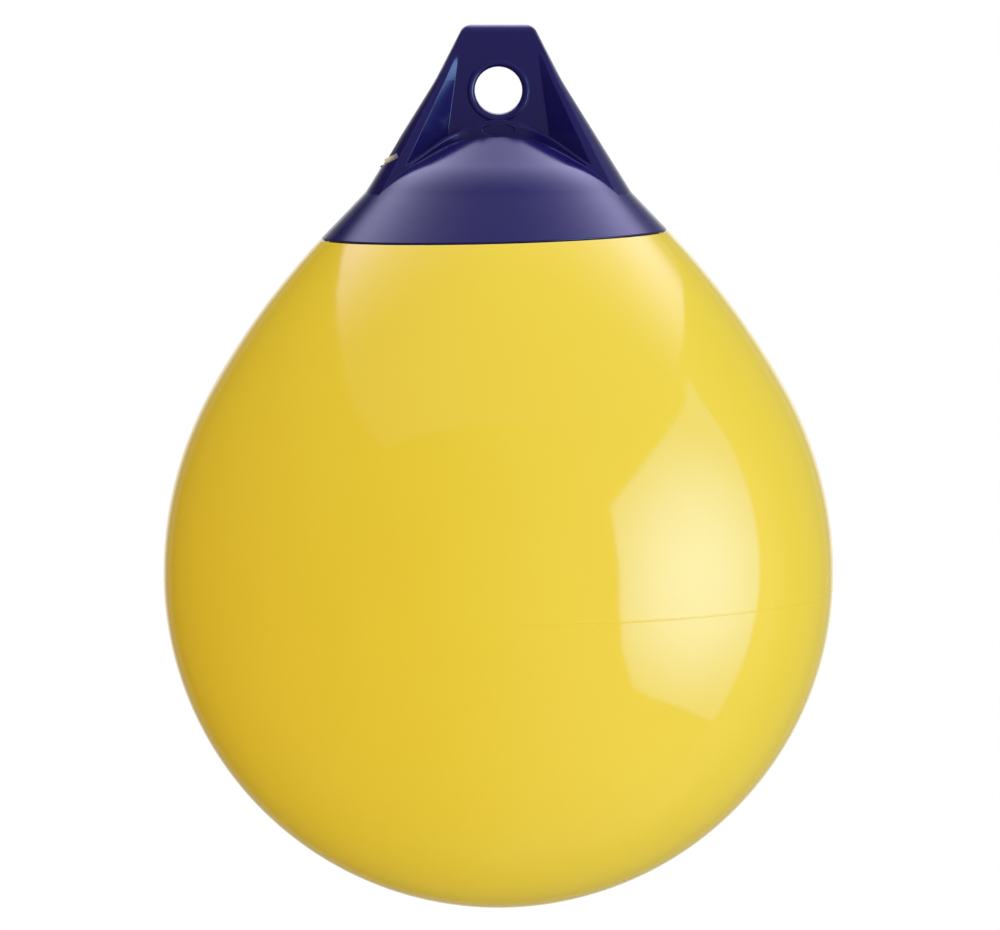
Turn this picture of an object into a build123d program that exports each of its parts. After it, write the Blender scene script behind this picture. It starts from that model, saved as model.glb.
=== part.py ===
"""Inflatable mooring buoy: a blown vinyl bag, a moulded rope hold with an eye, and an air valve.

The origin is the middle of the rope eye. X runs from flange to flange, Y along the eye, Z up.
"""

import os
from math import cos, radians, sin, sqrt, tan

from build123d import *

os.makedirs("parts", exist_ok=True)

# Bag, a body of revolution of tangent arcs about Z, hung from the end of a cone at the neck
bag_radius = 260.7
cone_end_r = 133.6
cone_end_z = -110.8
cone_angle = 43.84
shoulder_angle = 29.2
shoulder_ratio = 1.129
bag_wall = 2.4

# Mould seam round the bag a little below its widest line, and tilted like the colour line
seam_drop = 15.2
seam_tilt = 0.8
seam_radius = 1.1
seam_proud = 0.25

# Neck of the bag, a flat dome under the rope hold
neck_corner_r = 87.0
neck_rise = 21.3
neck_blend = 50.0
cap_wall = 5.5
bond_gap = 0.1

# Crown of the rope hold: the bag's cone carried on upwards, then a flatter cone
crown_edge_r = 88.2
crown_slope = 0.58
crown_blend = 100.0
rim_drop = 0.9
rim_tilt = 1.5
lip_round = 1.3
rim_round = 0.7

# Web with the rope eye
eye_radius = 18.35
eye_rim_radius = 23.8
eye_rim_height = 1.4
eye_rim_round = 1.3
eye_round = 3.5
web_half = 10.0
horn_top = 50.5
top_half = 27.0
top_corner = 9.0
top_round = 7.0
knee_r = 48.7
knee_z = 8.1
knee_round = 150.0
foot_r = 103.0
foot_sink = 12.0

# Two flanges beside the web, with splayed inner faces
wedge_top = 28.0
wedge_slope = 0.353
front_face = 4.5
front_face_foot = 10.0
front_round = 2.0
facet_top_x = 30.7
facet_slope = 0.137

# Arched double step where the web and the flanges stand on the crown
arch_half = 95.0
arch_angle = 34.6
arch_top = -22.6
arch_radius = 65.0
arch_front = 11.8
low_arch_drop = 2.8
low_arch_radius = 83.0
low_arch_front = 13.4
arch_flat_x = 30.0
arch_splay = 35.0
arch_round = 1.4
arch_bend_round = 25.0
floor_top = -35.05
floor_radius = 105.0
floor_angle = 30.0
floor_half = 130.0
dish_z = -30.5
dish_half_width = 12.5
dish_half_height = 5.0
dish_depth = 0.8

# Air valve at the foot of the left flange, on a seat parallel to the crown
valve_x = -80.5
valve_z = -52.6
valve_tilt = 30.0
seat_depth = 11.0
housing_flange_r = 9.0
housing_flange_t = 1.0
barrel_r = 6.5
barrel_length = 15.5
barrel_gap = 0.1
screw_head_r = 7.6
screw_head_t = 1.8
shank_r = 3.5
shank_length = 12.0
run_clearance = 0.06
slot_width = 1.8
slot_depth = 1.1
seal_r = 5.2
seal_t = 0.8
seal_play = 0.3
access_radius = 13.0
access_length = 70.0
slit_inner = 4.0
slit_height = 3.3


def tilted(origin, angle):
    """Plane turned about Y, its normal leaning to -X by the angle."""
    turn = radians(angle)
    return Plane(origin=origin, x_dir=(cos(turn), 0, sin(turn)), z_dir=(-sin(turn), 0, cos(turn)))


def on_arc(centre, radius, angle):
    """Point of an arc in the profile, angle up from the horizontal."""
    return (centre[0] + radius * cos(radians(angle)), centre[1] + radius * sin(radians(angle)))


# Arcs that follow from the sizes above
shoulder_radius = shoulder_ratio * bag_radius
shoulder_reach = shoulder_radius * (1 - cos(radians(shoulder_angle)))
neck_span = cos(radians(shoulder_angle)) - cos(radians(cone_angle))
neck_radius = (bag_radius - cone_end_r - shoulder_reach) / neck_span
neck_centre = on_arc((cone_end_r, cone_end_z), -neck_radius, cone_angle)
shoulder_centre = on_arc(neck_centre, neck_radius - shoulder_radius, shoulder_angle)
equator_z = shoulder_centre[1]
cone_rise = 1 / tan(radians(cone_angle))
neck_corner_z = cone_end_z + (cone_end_r - neck_corner_r) * cone_rise
neck_top_z = neck_corner_z + neck_rise
neck_dome_radius = (neck_corner_r**2 + neck_rise**2) / (2 * neck_rise)
crown_edge_z = cone_end_z + (cone_end_r - crown_edge_r) * cone_rise
rim_z = cone_end_z - rim_drop
foot_z = cone_end_z + (cone_end_r - foot_r) * cone_rise
horn_base = foot_z - foot_sink
low_arch_top = arch_top - low_arch_drop
rim_plane = tilted((0, 0, rim_z), rim_tilt)
seam_plane = tilted((0, 0, equator_z), seam_tilt)
valve_plane = tilted((valve_x, 0, valve_z), valve_tilt)


def neck_corner(inset):
    """Corner where the cone line reaches the neck's dome, both moved inward by the inset."""
    start = on_arc(neck_centre, neck_radius - inset, cone_angle)
    ahead = (-sin(radians(cone_angle)), cos(radians(cone_angle)))
    gap = (start[0], start[1] - neck_top_z + neck_dome_radius)
    half = gap[0] * ahead[0] + gap[1] * ahead[1]
    rest = gap[0] ** 2 + gap[1] ** 2 - (neck_dome_radius - inset) ** 2
    step = -half + sqrt(half**2 - rest)
    return (start[0] + step * ahead[0], start[1] + step * ahead[1])


def outline(inset, neck_inset):
    """Half section of the closed body, with one inset below the shoulder and one above it."""
    equator = (bag_radius - inset, equator_z)
    shoulder = on_arc(shoulder_centre, shoulder_radius - inset, shoulder_angle)
    middle_angle = (shoulder_angle + cone_angle) / 2
    middle_inset = inset + (neck_inset - inset) / 4
    middle = on_arc(neck_centre, neck_radius - middle_inset, middle_angle)
    cone = on_arc(neck_centre, neck_radius - neck_inset, cone_angle)
    corner = neck_corner(neck_inset)
    top = (0, neck_top_z - neck_inset)
    bottom = (0, equator_z - bag_radius + inset)
    with BuildSketch(Plane.XZ) as section:
        with BuildLine():
            RadiusArc(bottom, equator, -(bag_radius - inset))
            RadiusArc(equator, shoulder, -(shoulder_radius - inset))
            ThreePointArc(shoulder, middle, cone)
            Line(cone, corner)
            RadiusArc(corner, top, -(neck_dome_radius - neck_inset))
            Line(top, bottom)
        make_face()
        near = section.vertices().sort_by_distance((corner[0], corner[1], 0))[0]
        fillet(near, neck_blend - neck_inset)
    return section.sketch


def crown_outline():
    """Half section of the rope hold's outside, from below its rim to the tip of its flatter cone."""
    low = on_arc(neck_centre, neck_radius, cone_angle - 3)
    middle = on_arc(neck_centre, neck_radius, cone_angle - 1.5)
    corner = (crown_edge_r, crown_edge_z)
    tip = (0, crown_edge_z + crown_edge_r * crown_slope)
    with BuildSketch(Plane.XZ) as section:
        with BuildLine():
            ThreePointArc(low, middle, (cone_end_r, cone_end_z))
            Polyline((cone_end_r, cone_end_z), corner, tip, (0, low[1]), low)
        make_face()
        near = section.vertices().sort_by_distance((corner[0], corner[1], 0))[0]
        fillet(near, crown_blend)
    return section.sketch


def silhouette(z):
    """Radius of the horn's outer face at a height."""
    if z > knee_z:
        return knee_r - (z - knee_z) * (knee_r - top_half) / (horn_top - knee_z)
    return knee_r + (knee_z - z) * (foot_r - knee_r) / (knee_z - foot_z)


def half_depth(z):
    """Half depth of the flanges along Y at a height."""
    return web_half + wedge_slope * (wedge_top - z)


def is_front(point):
    """Whether a point lies where a flange's front meets the horn's outer face."""
    on_front = abs(abs(point.Y) - half_depth(point.Z)) < 0.05
    on_outside = abs(sqrt(point.X**2 + point.Y**2) - silhouette(point.Z)) < 0.6
    return on_front and on_outside and point.Z < wedge_top


def pocket_section(z, side):
    """Plan of the hollow before the web: the web's face, the splayed inner faces, open in front."""
    depth = half_depth(z)
    down = max(0, knee_z - z) / (knee_z - horn_base + 5)
    face = front_face + (front_face_foot - front_face) * down
    foot = facet_top_x + facet_slope * (wedge_top - z)
    edge = sqrt(silhouette(z) ** 2 - depth**2) - face
    right = [(foot, web_half), (edge, depth + 0.001), (edge + 30, 95)]
    points = [(x, side * y) for x, y in right]
    points += [(-x, y) for x, y in reversed(points)]
    with BuildSketch(Plane.XY.offset(z)) as section:
        with BuildLine():
            Polyline(*points, close=True)
        make_face()
    return section.sketch


def arch(top, radius, angle, half):
    """Front view of an arch: a round crown with straight legs down to the feet."""
    turn = radians(angle)
    bend = (radius * sin(turn), top - radius + radius * cos(turn))
    leg_end = bend[1] - (half - bend[0]) * tan(turn)
    base = min(leg_end, horn_base) - 10
    with BuildSketch(Plane.XZ) as front:
        with BuildLine():
            ThreePointArc((-bend[0], bend[1]), (0, top), bend)
            Polyline(bend, (half, leg_end), (half, base))
            Line((half, base), (-half, base))
            Polyline((-half, base), (-half, leg_end), (-bend[0], bend[1]))
        make_face()
    return front.sketch


def arch_height(x, top, radius):
    """Height of an arched step's upper side at a place across it."""
    turn = radians(arch_angle)
    bend_x = radius * sin(turn)
    if abs(x) < bend_x:
        return top - radius + sqrt(radius**2 - x**2)
    return top - radius + radius * cos(turn) - (abs(x) - bend_x) * tan(turn)


def is_step_edge(edge, top, radius):
    """Whether an edge is the upper front edge of an arched step."""
    point = edge.position_at(0.5)
    on_top = abs(point.Z - arch_height(point.X, top, radius)) < 0.05
    return on_top and abs(point.Y) > 1 and abs(point.X) < arch_half - 0.01


def arch_plan(front):
    """Plan of one arched step: flat before the web, then splayed towards the flanges' fronts."""
    reach = front + (arch_half - arch_flat_x) * tan(radians(arch_splay))
    right = [(arch_flat_x, -front), (arch_half, -reach), (arch_half, reach), (arch_flat_x, front)]
    points = right + [(-x, y) for x, y in reversed(right)]
    with BuildSketch(Plane.XY.offset(horn_base - 5)) as plan:
        with BuildLine():
            Polyline(*points, close=True)
        make_face()
        fillet([corner for corner in plan.vertices() if abs(corner.X) < arch_half - 1], arch_bend_round)
    return plan.sketch


# Blown bag, stepped in under the rope hold
with BuildPart() as bladder:
    revolve(outline(0, 0), axis=Axis.Z)
    split(bisect_by=rim_plane, keep=Keep.BOTTOM)
    lip = bladder.faces().sort_by(Axis.Z)[-1].edges()
    fillet(lip, lip_round)
    with BuildSketch(Plane(seam_plane.origin, x_dir=seam_plane.x_dir, z_dir=(0, -1, 0))):
        with Locations((sqrt(bag_radius**2 - seam_drop**2) + seam_proud - seam_radius, -seam_drop)):
            Circle(seam_radius)
    revolve(axis=Axis(seam_plane.origin, seam_plane.z_dir))
    revolve(outline(cap_wall + bond_gap, cap_wall + bond_gap), axis=Axis.Z)
    revolve(outline(bag_wall, cap_wall + bond_gap + bag_wall), axis=Axis.Z, mode=Mode.SUBTRACT)
    with BuildSketch(valve_plane):
        Circle(barrel_r + barrel_gap)
    extrude(amount=-40, mode=Mode.SUBTRACT)
bladder.part.label = "bladder"
export_step(bladder.part, "parts/bladder.step")

# Arched steps, each cut to its plan
with BuildPart() as upper_step:
    extrude(arch(arch_top, arch_radius, arch_angle, arch_half), amount=80, both=True)
    extrude(arch_plan(arch_front), amount=90, mode=Mode.INTERSECT)
    fillet([edge for edge in upper_step.edges() if is_step_edge(edge, arch_top, arch_radius)], arch_round)

with BuildPart() as lower_step:
    extrude(arch(low_arch_top, low_arch_radius, arch_angle, arch_half), amount=80, both=True)
    extrude(arch_plan(low_arch_front), amount=90, mode=Mode.INTERSECT)
    fillet([edge for edge in lower_step.edges() if is_step_edge(edge, low_arch_top, low_arch_radius)], arch_round)

# Arched floor of the hollows, straight from front to back
with BuildPart() as hollow_floor:
    extrude(arch(floor_top, floor_radius, floor_angle, floor_half), amount=100, both=True)

# Hollows before and behind the web, which leave the steps and the floor standing
with BuildPart() as hollows:
    for side in (1, -1):
        sections = [pocket_section(z, side) for z in (wedge_top, knee_z, horn_base - 5)]
        loft(sections=sections, ruled=True)
    add(upper_step.part, mode=Mode.SUBTRACT)
    add(lower_step.part, mode=Mode.SUBTRACT)
    add(hollow_floor.part, mode=Mode.SUBTRACT)
    for side in (1, -1):
        with BuildSketch(Plane.XZ.offset(side * (low_arch_front - dish_depth))):
            with Locations((0, dish_z)):
                Ellipse(dish_half_width, dish_half_height)
        extrude(amount=side * 8)

# Horn that the hollows are cut from, so that the web and the flanges stay
with BuildPart() as horn:
    with BuildSketch(Plane.XZ) as horn_section:
        with BuildLine():
            Polyline(
                (0, horn_top),
                (top_half, horn_top),
                (knee_r, knee_z),
                (silhouette(horn_base), horn_base),
                (0, horn_base),
                close=True,
            )
        make_face()
        knee = horn_section.vertices().sort_by_distance((knee_r, knee_z, 0))[0]
        fillet(knee, knee_round)
        shoulder_corner = horn_section.vertices().sort_by_distance((top_half, horn_top, 0))[0]
        fillet(shoulder_corner, top_corner)
    revolve(axis=Axis.Z)
    with BuildSketch(Plane.YZ) as side_view:
        with BuildLine():
            Polyline(
                (web_half, horn_top),
                (web_half, wedge_top),
                (half_depth(horn_base - 5), horn_base - 5),
                (-half_depth(horn_base - 5), horn_base - 5),
                (-web_half, wedge_top),
                (-web_half, horn_top),
                close=True,
            )
        make_face()
        fillet(side_view.vertices().group_by(Axis.Y)[-1], top_round)
    extrude(amount=130, both=True, mode=Mode.INTERSECT)
    fronts = [edge for edge in horn.edges() if is_front(edge.position_at(0.5))]
    fillet(fronts, front_round)

# Rounded rim of the eye
with BuildPart() as eye_ring:
    with BuildSketch(Plane.XY) as ring_section:
        with Locations(((eye_radius + eye_rim_radius) / 2, 0)):
            Rectangle(eye_rim_radius - eye_radius, 2 * (web_half + eye_rim_height))
        fillet(ring_section.vertices().group_by(Axis.X)[0], eye_round)
        fillet(ring_section.vertices().group_by(Axis.X)[-1], eye_rim_round)
    revolve(axis=Axis.Y)

# Rope hold: crown, web, flanges and eye in one moulding
with BuildPart() as rope_hold:
    revolve(crown_outline(), axis=Axis.Z)
    split(bisect_by=rim_plane, keep=Keep.TOP)
    rim = rope_hold.faces().sort_by(Axis.Z)[0].edges()
    fillet(rim, rim_round)
    add(horn.part)
    add(hollows.part, mode=Mode.SUBTRACT)
    with BuildSketch(Plane.XZ):
        Circle((eye_radius + eye_rim_radius) / 2)
    extrude(amount=60, both=True, mode=Mode.SUBTRACT)
    add(eye_ring.part)
    with BuildSketch(valve_plane):
        Circle(access_radius)
    extrude(amount=access_length, mode=Mode.SUBTRACT)
    with BuildSketch(valve_plane):
        with Locations((slit_inner - 30, 0)):
            Rectangle(60, 120)
    extrude(amount=slit_height, mode=Mode.SUBTRACT)
    with BuildSketch(valve_plane):
        Circle(access_radius)
    extrude(amount=-seat_depth)
    revolve(outline(cap_wall, cap_wall), axis=Axis.Z, mode=Mode.SUBTRACT)
    with BuildSketch(valve_plane):
        Circle(barrel_r + barrel_gap)
    extrude(amount=-40, mode=Mode.SUBTRACT)
rope_hold.part.label = "rope_hold"
export_step(rope_hold.part, "parts/rope_hold.step")

# Valve housing, a flanged bush through the moulding and the bag
with BuildPart() as valve_housing:
    with BuildSketch(valve_plane):
        Circle(housing_flange_r)
    extrude(amount=housing_flange_t)
    with BuildSketch(valve_plane):
        Circle(barrel_r)
    extrude(amount=-barrel_length)
    with BuildSketch(valve_plane.offset(housing_flange_t)):
        Circle(seal_r + seal_play)
    extrude(amount=-seal_t, mode=Mode.SUBTRACT)
    with BuildSketch(valve_plane.offset(housing_flange_t)):
        Circle(shank_r + run_clearance)
    extrude(amount=-(barrel_length + housing_flange_t), mode=Mode.SUBTRACT)
valve_housing.part.label = "valve_housing"
export_step(valve_housing.part, "parts/valve_housing.step")

# Soft washer under the screw's head
with BuildPart() as valve_seal:
    with BuildSketch(valve_plane.offset(housing_flange_t - seal_t)):
        Circle(seal_r)
        Circle(shank_r + run_clearance, mode=Mode.SUBTRACT)
    extrude(amount=seal_t)
valve_seal.part.label = "valve_seal"
export_step(valve_seal.part, "parts/valve_seal.step")

# Slotted screw plug
with BuildPart() as valve_screw:
    with BuildSketch(valve_plane.offset(housing_flange_t)):
        Circle(screw_head_r)
    extrude(amount=screw_head_t)
    with BuildSketch(valve_plane.offset(housing_flange_t)):
        Circle(shank_r)
    extrude(amount=-shank_length)
    with BuildSketch(valve_plane.offset(housing_flange_t + screw_head_t)):
        Rectangle(4 * screw_head_r, slot_width)
    extrude(amount=-slot_depth, mode=Mode.SUBTRACT)
valve_screw.part.label = "valve_screw"
export_step(valve_screw.part, "parts/valve_screw.step")
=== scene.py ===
"""Inflatable mooring buoy in a studio: glossy yellow bag under a blue moulded rope hold."""

from math import asin, cos, radians, sin, tan

import bpy
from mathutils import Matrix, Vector


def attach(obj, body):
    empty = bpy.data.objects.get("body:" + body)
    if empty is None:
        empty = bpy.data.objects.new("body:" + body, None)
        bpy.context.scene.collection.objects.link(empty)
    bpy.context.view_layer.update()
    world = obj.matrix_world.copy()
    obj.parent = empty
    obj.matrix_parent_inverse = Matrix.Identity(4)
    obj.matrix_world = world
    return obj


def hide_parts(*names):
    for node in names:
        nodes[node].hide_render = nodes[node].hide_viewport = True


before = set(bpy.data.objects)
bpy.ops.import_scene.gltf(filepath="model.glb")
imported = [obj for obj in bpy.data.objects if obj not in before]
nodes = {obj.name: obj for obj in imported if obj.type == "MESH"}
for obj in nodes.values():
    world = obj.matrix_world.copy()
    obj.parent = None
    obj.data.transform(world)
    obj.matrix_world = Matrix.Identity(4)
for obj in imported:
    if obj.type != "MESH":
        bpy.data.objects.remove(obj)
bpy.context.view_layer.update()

# Sizes of the bag in metres, as in the part's source. The cap wall here has the bond's gap added to it
bag_radius = 0.2607
cone_end_r = 0.1336
cone_end_z = -0.1108
cone_angle = radians(43.84)
shoulder_angle = radians(29.2)
shoulder_radius = 1.129 * bag_radius
neck_top_z = -0.04098
rim_z = -0.1117
rim_tilt = radians(1.5)
lip_round = 0.0013
cap_wall = 0.0056
seam_drop = 0.0152
seam_tilt = radians(0.8)
seam_radius = 0.0011
seam_proud = 0.00025
seam_ends = radians(-88), radians(-86)
seam_fades = radians(150), radians(175)

# Arcs of the bag's profile that follow from them
shoulder_reach = shoulder_radius * (1 - cos(shoulder_angle))
neck_span = cos(shoulder_angle) - cos(cone_angle)
neck_radius = (bag_radius - cone_end_r - shoulder_reach) / neck_span
neck_r = cone_end_r - neck_radius * cos(cone_angle)
neck_z = cone_end_z - neck_radius * sin(cone_angle)
shoulder_r = neck_r + (neck_radius - shoulder_radius) * cos(shoulder_angle)
equator_z = neck_z + (neck_radius - shoulder_radius) * sin(shoulder_angle)

# Lengths along the profile, from the bottom of the bag
bottom_length = bag_radius * radians(90)
seam_length = bottom_length - bag_radius * asin(seam_drop / bag_radius)
shoulder_length = shoulder_radius * shoulder_angle
neck_length = neck_radius * (cone_angle - shoulder_angle)
cone_start = bottom_length + shoulder_length + neck_length
rim_length = cone_start + (rim_z - cone_end_z) / cos(cone_angle)
rim_sway = tan(rim_tilt) * cone_end_r / cos(cone_angle)
seam_sway = bag_radius * seam_tilt


def linear(code):
    """Turns an sRGB hex colour into the linear values that shaders use."""
    channels = [int(code[place:place + 2], 16) / 255 for place in (1, 3, 5)]
    return tuple(c / 12.92 if c <= 0.04045 else ((c + 0.055) / 1.055) ** 2.4 for c in channels) + (1.0,)


def add_node(tree, kind, settings=None, inputs=None):
    """Adds one node with its settings, and fills its inputs with values or with other nodes' outputs."""
    made = tree.nodes.new(kind)
    for name, value in (settings or {}).items():
        setattr(made, name, value)
    for name, value in (inputs or {}).items():
        if isinstance(value, bpy.types.NodeSocket):
            tree.links.new(value, made.inputs[name])
        else:
            made.inputs[name].default_value = value
    return made


def new_material(name):
    """An empty node material, its node tree and its output node."""
    material = bpy.data.materials.new(name)
    material.use_nodes = True
    tree = material.node_tree
    tree.nodes.clear()
    return material, tree, add_node(tree, "ShaderNodeOutputMaterial")


# Blown plasticised PVC, flow moulded in a polished mould: a wet gloss over an even pigment, with a faint
# cloudiness of the pigment, shallow sinks as broad as a hand and an orange peel of a few millimetres
def blown_pvc():
    material, tree, output = new_material("blown PVC, gloss moulded, yellow")
    place = add_node(tree, "ShaderNodeTexCoord").outputs["Object"]
    cloud = add_node(tree, "ShaderNodeTexNoise", inputs={"Vector": place, "Scale": 14.0, "Detail": 4.0})
    tint = add_node(tree, "ShaderNodeMix", {"data_type": "RGBA"}, {
        0: cloud.outputs["Fac"], 6: linear("#EBD23E"), 7: linear("#EDD644")})
    # Sinks of about 90 mm, where the bag shrank unevenly as it cooled
    sink = add_node(tree, "ShaderNodeTexNoise", inputs={"Vector": place, "Scale": 11.0, "Detail": 1.0})
    sink_bump = add_node(tree, "ShaderNodeBump", inputs={
        "Strength": 1.0, "Distance": 0.0006, "Height": sink.outputs["Fac"]})
    # Orange peel of about 3 mm, which only ruffles the edge of a reflection
    peel = add_node(tree, "ShaderNodeTexNoise", inputs={"Vector": place, "Scale": 330.0, "Detail": 2.0})
    peel_bump = add_node(tree, "ShaderNodeBump", inputs={
        "Strength": 1.0, "Distance": 0.000004, "Height": peel.outputs["Fac"],
        "Normal": sink_bump.outputs["Normal"]})
    # Haze from handling: a little rougher in soft patches of about 60 mm. A weak yellow sheen
    # keeps the colour brighter out to the edge
    haze = add_node(tree, "ShaderNodeTexNoise", inputs={"Vector": place, "Scale": 17.0, "Detail": 5.0})
    rough = add_node(tree, "ShaderNodeMapRange", inputs={
        "Value": haze.outputs["Fac"], "From Min": 0.1, "From Max": 0.9, "To Min": 0.06, "To Max": 0.11})
    skin = add_node(tree, "ShaderNodeBsdfPrincipled", inputs={
        "Base Color": tint.outputs[2], "Roughness": rough.outputs["Result"], "IOR": 1.53,
        "Sheen Weight": 0.14, "Sheen Roughness": 0.3, "Sheen Tint": linear("#F3D233"),
        "Normal": peel_bump.outputs["Normal"]})
    tree.links.new(skin.outputs["BSDF"], output.inputs["Surface"])
    return material


# Plasticised PVC, injection moulded thick in a satin mould: dark blue with a soft sheen, a fine spark
# grain and rounded edges that catch a thin line of light
def moulded_pvc():
    material, tree, output = new_material("injection moulded PVC, satin, blue")
    place = add_node(tree, "ShaderNodeTexCoord").outputs["Object"]
    cloud = add_node(tree, "ShaderNodeTexNoise", inputs={"Vector": place, "Scale": 30.0, "Detail": 5.0})
    tint = add_node(tree, "ShaderNodeMix", {"data_type": "RGBA"}, {
        0: cloud.outputs["Fac"], 6: linear("#17135A"), 7: linear("#1A165F")})
    # Edges rounded by 0.9 mm, as a mould's are
    soft_edge = add_node(tree, "ShaderNodeBevel", {"samples": 8}, {"Radius": 0.0009})
    # Crown shaded as if it rose 6 mm more towards the horn than the solid's, which is too flat there, so
    # that the ceiling's sheen reaches the ridge. The surface itself doesn't move. Only faces that look up
    # take it, so the horn's web and flanges stay flat
    parts = add_node(tree, "ShaderNodeSeparateXYZ", inputs={"Vector": place})
    flat = add_node(tree, "ShaderNodeCombineXYZ", inputs={"X": parts.outputs["X"], "Y": parts.outputs["Y"]})
    reach = add_node(tree, "ShaderNodeVectorMath", {"operation": "LENGTH"}, {0: flat.outputs["Vector"]})
    crown_height = add_node(tree, "ShaderNodeMapRange", {"interpolation_type": "SMOOTHSTEP"}, {
        "Value": reach.outputs["Value"], "From Min": 0.02, "From Max": 0.105,
        "To Min": 0.0062, "To Max": 0.0})
    face = add_node(tree, "ShaderNodeNewGeometry")
    facing = add_node(tree, "ShaderNodeSeparateXYZ", inputs={"Vector": face.outputs["True Normal"]})
    on_crown = add_node(tree, "ShaderNodeMath", {"operation": "GREATER_THAN"}, {
        0: facing.outputs["Z"], 1: 0.5})
    fullness = add_node(tree, "ShaderNodeMath", {"operation": "MULTIPLY"}, {
        0: crown_height.outputs["Result"], 1: on_crown.outputs[0]})
    full_bump = add_node(tree, "ShaderNodeBump", inputs={
        "Strength": 1.0, "Distance": 1.0, "Height": fullness.outputs[0],
        "Normal": soft_edge.outputs["Normal"]})
    # Spark grain of about 0.8 mm, drawn coarser than the usual 0.2 mm so it shows, and a roughness that
    # varies in patches of about 25 mm from rubbing
    grain = add_node(tree, "ShaderNodeTexNoise", inputs={"Vector": place, "Scale": 1200.0, "Detail": 2.0})
    grain_bump = add_node(tree, "ShaderNodeBump", inputs={
        "Strength": 1.0, "Distance": 0.000008, "Height": grain.outputs["Fac"],
        "Normal": full_bump.outputs["Normal"]})
    haze = add_node(tree, "ShaderNodeTexNoise", inputs={"Vector": place, "Scale": 40.0, "Detail": 6.0})
    rough = add_node(tree, "ShaderNodeMapRange", inputs={
        "Value": haze.outputs["Fac"], "From Min": 0.1, "From Max": 0.9, "To Min": 0.13, "To Max": 0.19})
    skin = add_node(tree, "ShaderNodeBsdfPrincipled", inputs={
        "Base Color": tint.outputs[2], "Roughness": rough.outputs["Result"], "IOR": 1.5,
        "Normal": grain_bump.outputs["Normal"]})
    tree.links.new(skin.outputs["BSDF"], output.inputs["Surface"])
    return material


# Nylon 6, injection moulded: a milky white with a waxy gloss
def moulded_nylon():
    material, tree, output = new_material("injection moulded nylon, natural white")
    place = add_node(tree, "ShaderNodeTexCoord").outputs["Object"]
    cloud = add_node(tree, "ShaderNodeTexNoise", inputs={"Vector": place, "Scale": 260.0, "Detail": 3.0})
    tint = add_node(tree, "ShaderNodeMix", {"data_type": "RGBA"}, {
        0: cloud.outputs["Fac"], 6: linear("#E4E6E6"), 7: linear("#F1F2F0")})
    soft_edge = add_node(tree, "ShaderNodeBevel", {"samples": 8}, {"Radius": 0.0003})
    # Tool marks of about 0.6 mm from the mould
    marks = add_node(tree, "ShaderNodeTexNoise", inputs={"Vector": place, "Scale": 1600.0, "Detail": 1.0})
    marks_bump = add_node(tree, "ShaderNodeBump", inputs={
        "Strength": 1.0, "Distance": 0.000006, "Height": marks.outputs["Fac"],
        "Normal": soft_edge.outputs["Normal"]})
    skin = add_node(tree, "ShaderNodeBsdfPrincipled", inputs={
        "Base Color": tint.outputs[2], "Roughness": 0.36, "IOR": 1.53, "Subsurface Weight": 0.25,
        "Subsurface Radius": (1.0, 0.9, 0.8), "Subsurface Scale": 0.0012,
        "Normal": marks_bump.outputs["Normal"]})
    tree.links.new(skin.outputs["BSDF"], output.inputs["Surface"])
    return material


# Nitrile rubber, compression moulded and punched: dull black with a dusty surface
def punched_rubber():
    material, tree, output = new_material("punched nitrile rubber, black")
    place = add_node(tree, "ShaderNodeTexCoord").outputs["Object"]
    dust = add_node(tree, "ShaderNodeTexNoise", inputs={"Vector": place, "Scale": 900.0, "Detail": 4.0})
    tint = add_node(tree, "ShaderNodeMix", {"data_type": "RGBA"}, {
        0: dust.outputs["Fac"], 6: linear("#161616"), 7: linear("#2A2A2A")})
    dust_bump = add_node(tree, "ShaderNodeBump", inputs={
        "Strength": 1.0, "Distance": 0.00002, "Height": dust.outputs["Fac"]})
    skin = add_node(tree, "ShaderNodeBsdfPrincipled", inputs={
        "Base Color": tint.outputs[2], "Roughness": 0.75, "Normal": dust_bump.outputs["Normal"]})
    tree.links.new(skin.outputs["BSDF"], output.inputs["Surface"])
    return material


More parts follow.
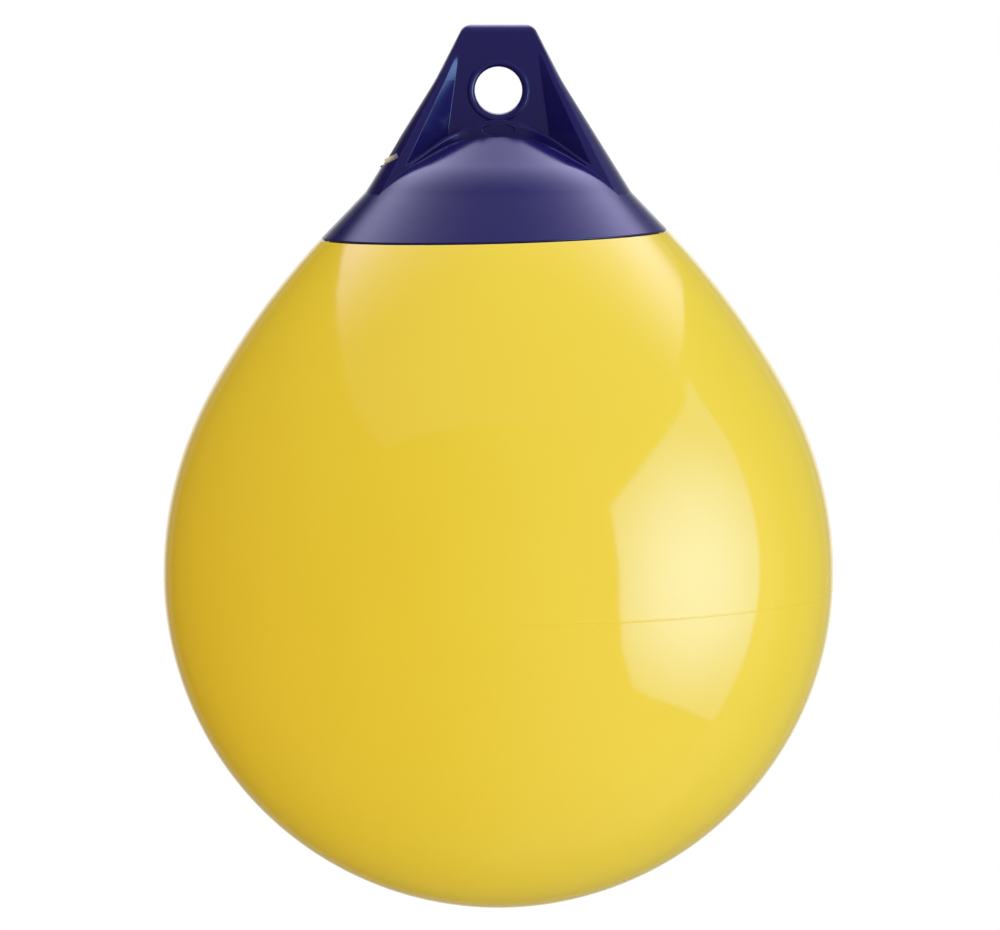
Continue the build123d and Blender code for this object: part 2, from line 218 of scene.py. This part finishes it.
def bag_tree(material):
    """Node tree that turns the bag's profile of arcs about Z, with its seam, lip and shallow unevenness."""
    tree = bpy.data.node_groups.new("bag turned from arcs", "GeometryNodeTree")
    tree.is_modifier = True
    sizes = {
        "Bag Radius": bag_radius, "Equator Z": equator_z,
        "Shoulder Radius": shoulder_radius, "Shoulder R": shoulder_r, "Shoulder Angle": shoulder_angle,
        "Neck Radius": neck_radius, "Neck R": neck_r, "Neck Z": neck_z, "Cone Angle": cone_angle,
        "Cone Length": 0.05,
        "Seam Length": seam_length, "Seam Sway": seam_sway, "Seam Radius": seam_radius,
        "Seam Proud": seam_proud, "Seam Band": 0.0011, "Rim Length": rim_length, "Rim Sway": rim_sway,
        "Lip Round": lip_round, "Lip Band": 0.0016, "Cap Wall": cap_wall, "Neck Top Z": neck_top_z,
        "Uneven Depth": 0.0003, "Uneven Scale": 9.0, "Uneven Seed": 7.0,
    }
    for name in sizes:
        tree.interface.new_socket(name, in_out="INPUT", socket_type="NodeSocketFloat")
    tree.interface.new_socket("Columns", in_out="INPUT", socket_type="NodeSocketInt")
    tree.interface.new_socket("Bag", in_out="OUTPUT", socket_type="NodeSocketGeometry")
    size = add_node(tree, "NodeGroupInput").outputs

    # Profile in X and Y: bottom, shoulder and neck arcs, then the cone's straight line
    arcs = (
        (size["Bag Radius"], 0.0, size["Equator Z"], -radians(90), radians(90)),
        (size["Shoulder Radius"], size["Shoulder R"], size["Equator Z"], 0.0, size["Shoulder Angle"]),
    )
    neck_sweep = add_node(tree, "ShaderNodeMath", {"operation": "SUBTRACT"}, {
        0: size["Cone Angle"], 1: size["Shoulder Angle"]})
    arcs += ((size["Neck Radius"], size["Neck R"], size["Neck Z"], size["Shoulder Angle"],
              neck_sweep.outputs[0]),)
    runs = []
    for radius, centre_x, centre_y, start, sweep in arcs:
        arc = add_node(tree, "GeometryNodeCurveArc", {"mode": "RADIUS"}, {
            "Resolution": 400, "Radius": radius, "Start Angle": start, "Sweep Angle": sweep})
        centre = add_node(tree, "ShaderNodeCombineXYZ", inputs={"X": centre_x, "Y": centre_y})
        moved = add_node(tree, "GeometryNodeTransform", inputs={
            "Geometry": arc.outputs["Curve"], "Translation": centre.outputs["Vector"]})
        runs.append(moved.outputs["Geometry"])
    cone_turn = add_node(tree, "ShaderNodeCombineXYZ", inputs={"Z": size["Cone Angle"]})
    cone_foot = add_node(tree, "ShaderNodeVectorRotate", {"rotation_type": "EULER_XYZ"}, {
        "Vector": (1.0, 0.0, 0.0), "Rotation": cone_turn.outputs["Vector"]})
    cone_foot_scaled = add_node(tree, "ShaderNodeVectorMath", {"operation": "SCALE"}, {
        0: cone_foot.outputs["Vector"], "Scale": size["Neck Radius"]})
    neck_centre = add_node(tree, "ShaderNodeCombineXYZ", inputs={"X": size["Neck R"], "Y": size["Neck Z"]})
    cone_start_point = add_node(tree, "ShaderNodeVectorMath", {"operation": "ADD"}, {
        0: cone_foot_scaled.outputs["Vector"], 1: neck_centre.outputs["Vector"]})
    cone_way = add_node(tree, "ShaderNodeVectorRotate", {"rotation_type": "EULER_XYZ"}, {
        "Vector": (0.0, 1.0, 0.0), "Rotation": cone_turn.outputs["Vector"]})
    cone = add_node(tree, "GeometryNodeCurvePrimitiveLine", {"mode": "DIRECTION"}, {
        "Start": cone_start_point.outputs["Vector"], "Direction": cone_way.outputs["Vector"],
        "Length": size["Cone Length"]})
    runs.append(cone.outputs["Curve"])
    profile = add_node(tree, "GeometryNodeJoinGeometry")
    for run in reversed(runs):
        tree.links.new(run, profile.inputs["Geometry"])

    # Bands of rows up the bag: bottom, seam, shoulder and neck, lip, land under the lip, and hidden dome.
    # The rows are close together at the seam and the lip. X counts the bands, Y is the angle
    band_rows = (96, 22, 84, 12, 4, 14)
    bands = add_node(tree, "GeometryNodeJoinGeometry")
    for start, rows in enumerate(band_rows):
        band = add_node(tree, "GeometryNodeMeshGrid", inputs={
            "Size X": 1.0, "Size Y": radians(360), "Vertices X": rows, "Vertices Y": size["Columns"]})
        placed = add_node(tree, "GeometryNodeTransform", inputs={
            "Geometry": band.outputs["Mesh"], "Translation": (start + 0.5, 0.0, 0.0)})
        tree.links.new(placed.outputs["Geometry"], bands.inputs["Geometry"])
    where = add_node(tree, "GeometryNodeInputPosition")
    station = add_node(tree, "ShaderNodeSeparateXYZ", inputs={"Vector": where.outputs["Position"]})
    angle = station.outputs["Y"]
    shares = []
    for start in range(len(band_rows)):
        share = add_node(tree, "ShaderNodeMapRange", inputs={
            "Value": station.outputs["X"], "From Min": float(start), "From Max": float(start + 1)})
        shares.append(share.outputs["Result"])

    # Length along the profile at each row, with rows that follow the tilted seam and the tilted rim
    around = add_node(tree, "ShaderNodeMath", {"operation": "COSINE"}, {0: angle})
    rim = add_node(tree, "ShaderNodeMath", {"operation": "MULTIPLY_ADD"}, {
        0: around.outputs[0], 1: size["Rim Sway"], 2: size["Rim Length"]})
    seam = add_node(tree, "ShaderNodeMath", {"operation": "MULTIPLY_ADD"}, {
        0: around.outputs[0], 1: size["Seam Sway"], 2: size["Seam Length"]})
    below_seam = add_node(tree, "ShaderNodeMath", {"operation": "SUBTRACT"}, {
        0: seam.outputs[0], 1: size["Seam Band"]})
    above_seam = add_node(tree, "ShaderNodeMath", {"operation": "ADD"}, {
        0: seam.outputs[0], 1: size["Seam Band"]})
    below_lip = add_node(tree, "ShaderNodeMath", {"operation": "SUBTRACT"}, {
        0: rim.outputs[0], 1: size["Lip Band"]})
    stops = (0.0, below_seam.outputs[0], above_seam.outputs[0], below_lip.outputs[0], rim.outputs[0])
    length = 0.0
    for low, high, share in zip(stops, stops[1:], shares):
        step = add_node(tree, "ShaderNodeMath", {"operation": "SUBTRACT"}, {0: high, 1: low})
        grown = add_node(tree, "ShaderNodeMath", {"operation": "MULTIPLY_ADD"}, {
            0: step.outputs[0], 1: share, 2: length})
        length = grown.outputs[0]
    on_profile = add_node(tree, "GeometryNodeSampleCurve", {"mode": "LENGTH", "use_all_curves": True}, {
        "Curves": profile.outputs["Geometry"], "Length": length})

    # Seam ridge, the top of a round bead
    off_seam = add_node(tree, "ShaderNodeMath", {"operation": "SUBTRACT"}, {0: length, 1: seam.outputs[0]})
    off_squared = add_node(tree, "ShaderNodeMath", {"operation": "POWER"}, {0: off_seam.outputs[0], 1: 2.0})
    bead_squared = add_node(tree, "ShaderNodeMath", {"operation": "POWER"}, {
        0: size["Seam Radius"], 1: 2.0})
    bead_rest = add_node(tree, "ShaderNodeMath", {"operation": "SUBTRACT"}, {
        0: bead_squared.outputs[0], 1: off_squared.outputs[0]})
    bead_inside = add_node(tree, "ShaderNodeMath", {"operation": "MAXIMUM"}, {
        0: bead_rest.outputs[0], 1: 0.0})
    bead_height = add_node(tree, "ShaderNodeMath", {"operation": "SQRT"}, {0: bead_inside.outputs[0]})
    bead_sunk = add_node(tree, "ShaderNodeMath", {"operation": "SUBTRACT"}, {
        0: size["Seam Radius"], 1: size["Seam Proud"]})
    ridge = add_node(tree, "ShaderNodeMath", {"operation": "SUBTRACT"}, {
        0: bead_height.outputs[0], 1: bead_sunk.outputs[0]})
    ridge_all = add_node(tree, "ShaderNodeMath", {"operation": "MAXIMUM"}, {0: ridge.outputs[0], 1: 0.0})

    # Seam trimmed flush round the front left. It ends just right of the middle, and fades in again behind
    # the left side
    past_front = add_node(tree, "ShaderNodeMapRange", inputs={
        "Value": angle, "From Min": seam_ends[0], "From Max": seam_ends[1]})
    before_left = add_node(tree, "ShaderNodeMapRange", inputs={
        "Value": angle, "From Min": seam_fades[0], "From Max": seam_fades[1], "To Min": 1.0, "To Max": 0.0})
    left_on = add_node(tree, "ShaderNodeMath", {"operation": "MINIMUM"}, {
        0: past_front.outputs["Result"], 1: before_left.outputs["Result"]})
    ridge_out = add_node(tree, "ShaderNodeMath", {"operation": "MULTIPLY"}, {
        0: ridge_all.outputs[0], 1: left_on.outputs[0]})

    # Lip rolled in at the rim: a quarter round over the last millimetre
    from_rim = add_node(tree, "ShaderNodeMath", {"operation": "SUBTRACT"}, {0: rim.outputs[0], 1: length})
    roll = add_node(tree, "ShaderNodeMapRange", inputs={
        "Value": from_rim.outputs[0], "From Min": 0.0, "From Max": size["Lip Round"],
        "To Min": 1.0, "To Max": 0.0})
    roll_squared = add_node(tree, "ShaderNodeMath", {"operation": "POWER"}, {
        0: roll.outputs["Result"], 1: 2.0})
    roll_rest = add_node(tree, "ShaderNodeMath", {"operation": "SUBTRACT"}, {
        0: 1.0, 1: roll_squared.outputs[0]})
    roll_height = add_node(tree, "ShaderNodeMath", {"operation": "SQRT"}, {0: roll_rest.outputs[0]})
    roll_depth = add_node(tree, "ShaderNodeMath", {"operation": "SUBTRACT"}, {
        0: 1.0, 1: roll_height.outputs[0]})
    lip_in = add_node(tree, "ShaderNodeMath", {"operation": "MULTIPLY"}, {
        0: roll_depth.outputs[0], 1: size["Lip Round"]})
    land = add_node(tree, "ShaderNodeMath", {"operation": "SUBTRACT"}, {
        0: size["Cap Wall"], 1: size["Lip Round"]})
    inward = add_node(tree, "ShaderNodeMath", {"operation": "MULTIPLY_ADD"}, {
        0: land.outputs[0], 1: shares[4], 2: lip_in.outputs[0]})

    # Shallow unevenness of a blown bag, only ever inward, and none at the lip
    flat_point = add_node(tree, "ShaderNodeSeparateXYZ", inputs={"Vector": on_profile.outputs["Position"]})
    flat_way = add_node(tree, "ShaderNodeSeparateXYZ", inputs={"Vector": on_profile.outputs["Tangent"]})
    upright = add_node(tree, "ShaderNodeCombineXYZ", inputs={
        "X": flat_point.outputs["X"], "Z": flat_point.outputs["Y"]})
    turned = add_node(tree, "ShaderNodeVectorRotate", {"rotation_type": "Z_AXIS"}, {
        "Vector": upright.outputs["Vector"], "Angle": angle})
    uneven = add_node(tree, "ShaderNodeTexNoise", {"noise_dimensions": "4D"}, {
        "Vector": turned.outputs["Vector"], "W": size["Uneven Seed"], "Scale": size["Uneven Scale"],
        "Detail": 1.0})
    fade = add_node(tree, "ShaderNodeMapRange", inputs={
        "Value": from_rim.outputs[0], "From Min": 0.002, "From Max": 0.04})
    uneven_faded = add_node(tree, "ShaderNodeMath", {"operation": "MULTIPLY"}, {
        0: uneven.outputs[0], 1: fade.outputs["Result"]})
    inward_all = add_node(tree, "ShaderNodeMath", {"operation": "MULTIPLY_ADD"}, {
        0: uneven_faded.outputs[0], 1: size["Uneven Depth"], 2: inward.outputs[0]})
    outward = add_node(tree, "ShaderNodeMath", {"operation": "SUBTRACT"}, {
        0: ridge_out.outputs[0], 1: inward_all.outputs[0]})

    # Point moved along the profile's normal, which lies a quarter turn from its run
    moved_r = add_node(tree, "ShaderNodeMath", {"operation": "MULTIPLY_ADD"}, {
        0: flat_way.outputs["Y"], 1: outward.outputs[0], 2: flat_point.outputs["X"]})
    drop = add_node(tree, "ShaderNodeMath", {"operation": "MULTIPLY"}, {
        0: flat_way.outputs["X"], 1: outward.outputs[0]})
    moved_z = add_node(tree, "ShaderNodeMath", {"operation": "SUBTRACT"}, {
        0: flat_point.outputs["Y"], 1: drop.outputs[0]})

    # Neck under the rope hold, a dome that closes the bag
    open_share = add_node(tree, "ShaderNodeMath", {"operation": "SUBTRACT"}, {0: 1.0, 1: shares[5]})
    dome_r = add_node(tree, "ShaderNodeMath", {"operation": "MULTIPLY"}, {
        0: moved_r.outputs[0], 1: open_share.outputs[0]})
    open_squared = add_node(tree, "ShaderNodeMath", {"operation": "POWER"}, {
        0: open_share.outputs[0], 1: 2.0})
    dome_top = add_node(tree, "ShaderNodeMath", {"operation": "SUBTRACT"}, {
        0: size["Neck Top Z"], 1: size["Cap Wall"]})
    dome_z = add_node(tree, "ShaderNodeMix", {"data_type": "FLOAT"}, {
        0: open_squared.outputs[0], 2: dome_top.outputs[0], 3: moved_z.outputs[0]})
    final_flat = add_node(tree, "ShaderNodeCombineXYZ", inputs={
        "X": dome_r.outputs[0], "Z": dome_z.outputs[0]})
    final = add_node(tree, "ShaderNodeVectorRotate", {"rotation_type": "Z_AXIS"}, {
        "Vector": final_flat.outputs["Vector"], "Angle": angle})
    shaped = add_node(tree, "GeometryNodeSetPosition", inputs={
        "Geometry": bands.outputs["Geometry"], "Position": final.outputs["Vector"]})
    merged = add_node(tree, "GeometryNodeMergeByDistance", inputs={
        "Geometry": shaped.outputs["Geometry"], "Distance": 0.000002})
    outside = add_node(tree, "GeometryNodeFlipFaces", inputs={"Mesh": merged.outputs["Geometry"]})
    smooth = add_node(tree, "GeometryNodeSetShadeSmooth", inputs={"Geometry": outside.outputs["Mesh"]})
    real = add_node(tree, "GeometryNodeRealizeInstances", inputs={"Geometry": smooth.outputs["Geometry"]})
    coloured = add_node(tree, "GeometryNodeSetMaterial", inputs={
        "Geometry": real.outputs["Geometry"], "Material": material})
    add_node(tree, "NodeGroupOutput", inputs={"Bag": coloured.outputs["Geometry"]})
    return tree, sizes


def make_bag(material):
    """The bag as a plain mesh from its node tree."""
    tree, sizes = bag_tree(material)
    seed = bpy.data.meshes.new("bag_seed")
    maker = bpy.data.objects.new("bag_maker", seed)
    bpy.context.scene.collection.objects.link(maker)
    modifier = maker.modifiers.new("bag turned from arcs", "NODES")
    modifier.node_group = tree
    values = dict(sizes, Columns=361)
    for item in tree.interface.items_tree:
        if item.in_out == "INPUT":
            modifier[item.identifier] = values[item.name]
    bpy.context.view_layer.update()
    evaluated = maker.evaluated_get(bpy.context.evaluated_depsgraph_get())
    mesh = bpy.data.meshes.new_from_object(evaluated)
    bpy.data.objects.remove(maker)
    mesh.name = "yellow_bag"
    bag = bpy.data.objects.new("yellow_bag", mesh)
    bpy.context.scene.collection.objects.link(bag)
    return bag


yellow = blown_pvc()
blue = moulded_pvc()
nylon = moulded_nylon()
rubber = punched_rubber()

bag = make_bag(yellow)
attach(bag, "float")
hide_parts("bladder")

finishes = {"rope_hold": blue, "valve_housing": nylon, "valve_screw": nylon, "valve_seal": rubber}
for name, material in finishes.items():
    shown = nodes[name].data
    shown.materials.clear()
    shown.materials.append(material)

# Camera: a long lens six metres off, a little above the middle of the buoy
camera_distance = 6.0
camera_height = radians(4.7)
picture_width = 1000
metres_per_pixel = 0.0007777
sensor_width = 36.0
target = Vector((0.0012, 0.0, -0.2914))
camera_data = bpy.data.cameras.new("camera")
camera_data.sensor_width = sensor_width
camera_data.lens = sensor_width * camera_distance / (picture_width * metres_per_pixel)
camera_data.clip_end = 50.0
camera = bpy.data.objects.new("camera", camera_data)
bpy.context.scene.collection.objects.link(camera)
away = Vector((0.0, -cos(camera_height), sin(camera_height)))
camera.location = target + away * camera_distance
camera.rotation_mode = "QUATERNION"
camera.rotation_quaternion = (-away).to_track_quat("-Z", "Y")
bpy.context.scene.camera = camera

# Floor well under the hanging buoy, pale, fading into the room before its edge, and not seen in gloss
floor_z = -1.0
floor_half = 0.9
floor_fade = 0.4, 0.85


def studio_floor():
    material, tree, output = new_material("painted studio floor, matt white")
    place = add_node(tree, "ShaderNodeTexCoord").outputs["Object"]
    reach = add_node(tree, "ShaderNodeVectorMath", {"operation": "LENGTH"}, {0: place})
    edge = add_node(tree, "ShaderNodeMapRange", {"interpolation_type": "SMOOTHSTEP"}, {
        "Value": reach.outputs["Value"], "From Min": floor_fade[0], "From Max": floor_fade[1]})
    paint = add_node(tree, "ShaderNodeBsdfDiffuse", inputs={"Color": linear("#F4F4F2")})
    clear = add_node(tree, "ShaderNodeBsdfTransparent")
    mixed = add_node(tree, "ShaderNodeMixShader", inputs={
        0: edge.outputs["Result"], 1: paint.outputs["BSDF"], 2: clear.outputs["BSDF"]})
    tree.links.new(mixed.outputs["Shader"], output.inputs["Surface"])
    return material


floor_mesh = bpy.data.meshes.new("floor")
floor_corners = [(x * floor_half, y * floor_half, 0) for x, y in ((-1, -1), (1, -1), (1, 1), (-1, 1))]
floor_mesh.from_pydata(floor_corners, [], [(0, 1, 2, 3)])
floor_mesh.materials.append(studio_floor())
floor = bpy.data.objects.new("floor", floor_mesh)
floor.location.z = floor_z
floor.visible_glossy = False
bpy.context.scene.collection.objects.link(floor)


white = (1.0, 1.0, 1.0, 1.0)


def lamp_face(name, plain, glossy_edge, glossy_middle, half_size, squeeze, glossy_colour):
    """Emission of a soft lamp. It lights in plain white. Where gloss mirrors it, it has a colour of its own
    and goes from one strength in the middle to another at the edge. The half size is how far the middle
    reaches, and a squeeze below 1 widens it across the lamp."""
    material, tree, output = new_material(name)
    mirrored = add_node(tree, "ShaderNodeLightPath").outputs["Is Glossy Ray"]
    place = add_node(tree, "ShaderNodeTexCoord").outputs["Object"]
    drawn_in = add_node(tree, "ShaderNodeVectorMath", {"operation": "MULTIPLY"}, {
        0: place, 1: (squeeze, 1.0, 1.0)})
    reach = add_node(tree, "ShaderNodeVectorMath", {"operation": "LENGTH"}, {0: drawn_in.outputs["Vector"]})
    glow = add_node(tree, "ShaderNodeMapRange", {"interpolation_type": "SMOOTHSTEP"}, {
        "Value": reach.outputs["Value"], "From Min": 0.0, "From Max": half_size,
        "To Min": glossy_middle, "To Max": glossy_edge})
    strength = add_node(tree, "ShaderNodeMix", {"data_type": "FLOAT"}, {
        0: mirrored, 2: plain, 3: glow.outputs["Result"]})
    colour = add_node(tree, "ShaderNodeMix", {"data_type": "RGBA"}, {
        0: mirrored, 6: white, 7: glossy_colour})
    light = add_node(tree, "ShaderNodeEmission", inputs={
        "Color": colour.outputs[2], "Strength": strength.outputs[0]})
    clear = add_node(tree, "ShaderNodeBsdfTransparent")
    side = add_node(tree, "ShaderNodeNewGeometry")
    mixed = add_node(tree, "ShaderNodeMixShader", inputs={
        0: side.outputs["Backfacing"], 1: light.outputs["Emission"], 2: clear.outputs["BSDF"]})
    tree.links.new(mixed.outputs["Shader"], output.inputs["Surface"])
    return material


def add_lamp(name, corners, material, place, tilt, turn):
    """A flat lamp of these corners, in turn to the left, which shines from its upper side only. A tilt of
    90 stands it upright and 180 faces it down, and the turn is about Z."""
    mesh = bpy.data.meshes.new(name)
    mesh.from_pydata([(x, y, 0) for x, y in corners], [], [tuple(range(len(corners)))])
    mesh.materials.append(material)
    lamp = bpy.data.objects.new(name, mesh)
    lamp.location = place
    lamp.rotation_euler = (radians(tilt), 0.0, radians(turn))
    lamp.visible_camera = False
    bpy.context.scene.collection.objects.link(lamp)


# Tall softbox with cut corners at the right, seen mirrored in the bag. Mirrored, it is a strong blue and
# up to nine times as bright as its plain light, which makes the highlight on the yellow a pale cream
softbox_outline = [
    (-1.02, 1.40), (-1.03, 0.74), (-0.96, 0.12), (-0.87, -0.40), (-0.86, -1.24), (-0.24, -1.11),
    (0.42, -1.03), (0.67, -0.62), (0.78, -0.18), (0.77, 0.71), (-0.02, 1.04),
]
softbox_angle = 70
softbox_reach = 1.6
softbox_shift = 0.22
softbox_z = -0.34
softbox_side = radians(softbox_angle)
softbox_place = Vector((0.0, 0.0, softbox_z))
softbox_place += Vector((sin(softbox_side), -cos(softbox_side), 0.0)) * softbox_reach
softbox_place += Vector((-cos(softbox_side), -sin(softbox_side), 0.0)) * softbox_shift
softbox_cloth = lamp_face(
    "softbox cloth", plain=0.95, glossy_edge=2.0, glossy_middle=8.2, half_size=1.35, squeeze=1.0,
    glossy_colour=(0.36, 0.59, 1.0, 1.0))
add_lamp("softbox", softbox_outline, softbox_cloth, softbox_place, tilt=90, turn=softbox_angle + 180)

# Wide ceiling panel, from before the buoy to far behind it and brightest behind, which lays the pale sheen
# on the crown and a faint one on both of the bag's shoulders
overhead_outline = [(-1.7, -2.0), (1.7, -2.0), (1.7, 2.6), (-1.7, 2.6)]
overhead_place = Vector((0.14, 1.1, 1.24))
overhead_cloth = lamp_face(
    "overhead cloth", plain=1.2, glossy_edge=0.45, glossy_middle=4.8, half_size=1.6, squeeze=0.52,
    glossy_colour=(0.70, 0.67, 1.0, 1.0))
add_lamp("overhead", overhead_outline, overhead_cloth, overhead_place, tilt=180, turn=0)

# World: white behind the buoy and pale grey to its other sides, so that a bright edge stands out there.
# For its light, a room that is warm and dim at the left and a little brighter behind and below. In
# reflections, a room that is brighter at the right and dark behind, with the white backdrop small in the
# middle of a grey wall there
world = bpy.data.worlds.new("studio")
world.use_nodes = True
bpy.context.scene.world = world
room = world.node_tree
room.nodes.clear()
way = add_node(room, "ShaderNodeTexCoord").outputs["Generated"]
parts = add_node(room, "ShaderNodeSeparateXYZ", inputs={"Vector": way})

# Each rises smoothly from dim to bright as that part of the direction goes from low to high
room_levels = {
    "lit side": ("X", -0.7, 0.2, 0.0, 1.0),
    "from sides": ("X", -0.7, 0.2, 0.65, 1.08),
    "from behind": ("Y", 0.2, 0.9, 0.0, 0.1),
    "from below": ("Z", -0.9, 0.0, 0.5, 0.0),
    "front glow": ("X", -0.5, 0.7, 0.05, 0.5),
    "dark behind": ("Y", 0.2, 0.55, 1.0, 0.4),
    "back wall": ("Y", 0.86, 0.92, 0.0, 0.15),
    "backdrop": ("Y", 0.94, 0.99, 0.0, 0.7),
    "side wall": ("X", 0.85, 0.98, 0.0, 0.2),
    "seen wall": ("Y", 0.6, 0.95, 0.82, 1.0),
}
level = {}
for name, (part, low, high, dim, bright) in room_levels.items():
    rising = add_node(room, "ShaderNodeMapRange", {"interpolation_type": "SMOOTHSTEP", "label": name}, {
        "Value": parts.outputs[part], "From Min": low, "From Max": high, "To Min": dim, "To Max": bright})
    level[name] = rising.outputs["Result"]

side_colour = add_node(room, "ShaderNodeMix", {"data_type": "RGBA"}, {
    0: level["lit side"], 6: (1.0, 0.74, 0.28, 1.0), 7: (1.0, 0.99, 0.97, 1.0)})
added = add_node(room, "ShaderNodeMath", {"operation": "ADD"}, {
    0: level["from behind"], 1: level["from below"]})
lighting = add_node(room, "ShaderNodeMath", {"operation": "ADD"}, {
    0: level["from sides"], 1: added.outputs[0]})
low_glow = add_node(room, "ShaderNodeMath", {"operation": "MULTIPLY"}, {
    0: level["front glow"], 1: level["dark behind"]})
far_walls = add_node(room, "ShaderNodeMath", {"operation": "ADD"}, {
    0: level["backdrop"], 1: level["back wall"]})
walls = add_node(room, "ShaderNodeMath", {"operation": "ADD"}, {
    0: level["side wall"], 1: far_walls.outputs[0]})
mirrored = add_node(room, "ShaderNodeMath", {"operation": "ADD"}, {
    0: low_glow.outputs[0], 1: walls.outputs[0]})

# What a camera ray, a mirrored or refracted ray and any other ray sees
ray = add_node(room, "ShaderNodeLightPath").outputs
mirror_ray = add_node(room, "ShaderNodeMath", {"operation": "MAXIMUM"}, {
    0: ray["Is Glossy Ray"], 1: ray["Is Transmission Ray"]})
unseen = add_node(room, "ShaderNodeMix", {"data_type": "FLOAT"}, {
    0: mirror_ray.outputs[0], 2: lighting.outputs[0], 3: mirrored.outputs[0]})
strength = add_node(room, "ShaderNodeMix", {"data_type": "FLOAT"}, {
    0: ray["Is Camera Ray"], 2: unseen.outputs[0], 3: level["seen wall"]})
seen = add_node(room, "ShaderNodeMath", {"operation": "MAXIMUM"}, {
    0: ray["Is Camera Ray"], 1: mirror_ray.outputs[0]})
room_colour = add_node(room, "ShaderNodeMix", {"data_type": "RGBA"}, {
    0: seen.outputs[0], 6: side_colour.outputs[2], 7: white})
glow = add_node(room, "ShaderNodeBackground", inputs={
    "Color": room_colour.outputs[2], "Strength": strength.outputs[0]})
add_node(room, "ShaderNodeOutputWorld", inputs={"Surface": glow.outputs["Background"]})

bpy.context.scene.view_settings.view_transform = "Standard"
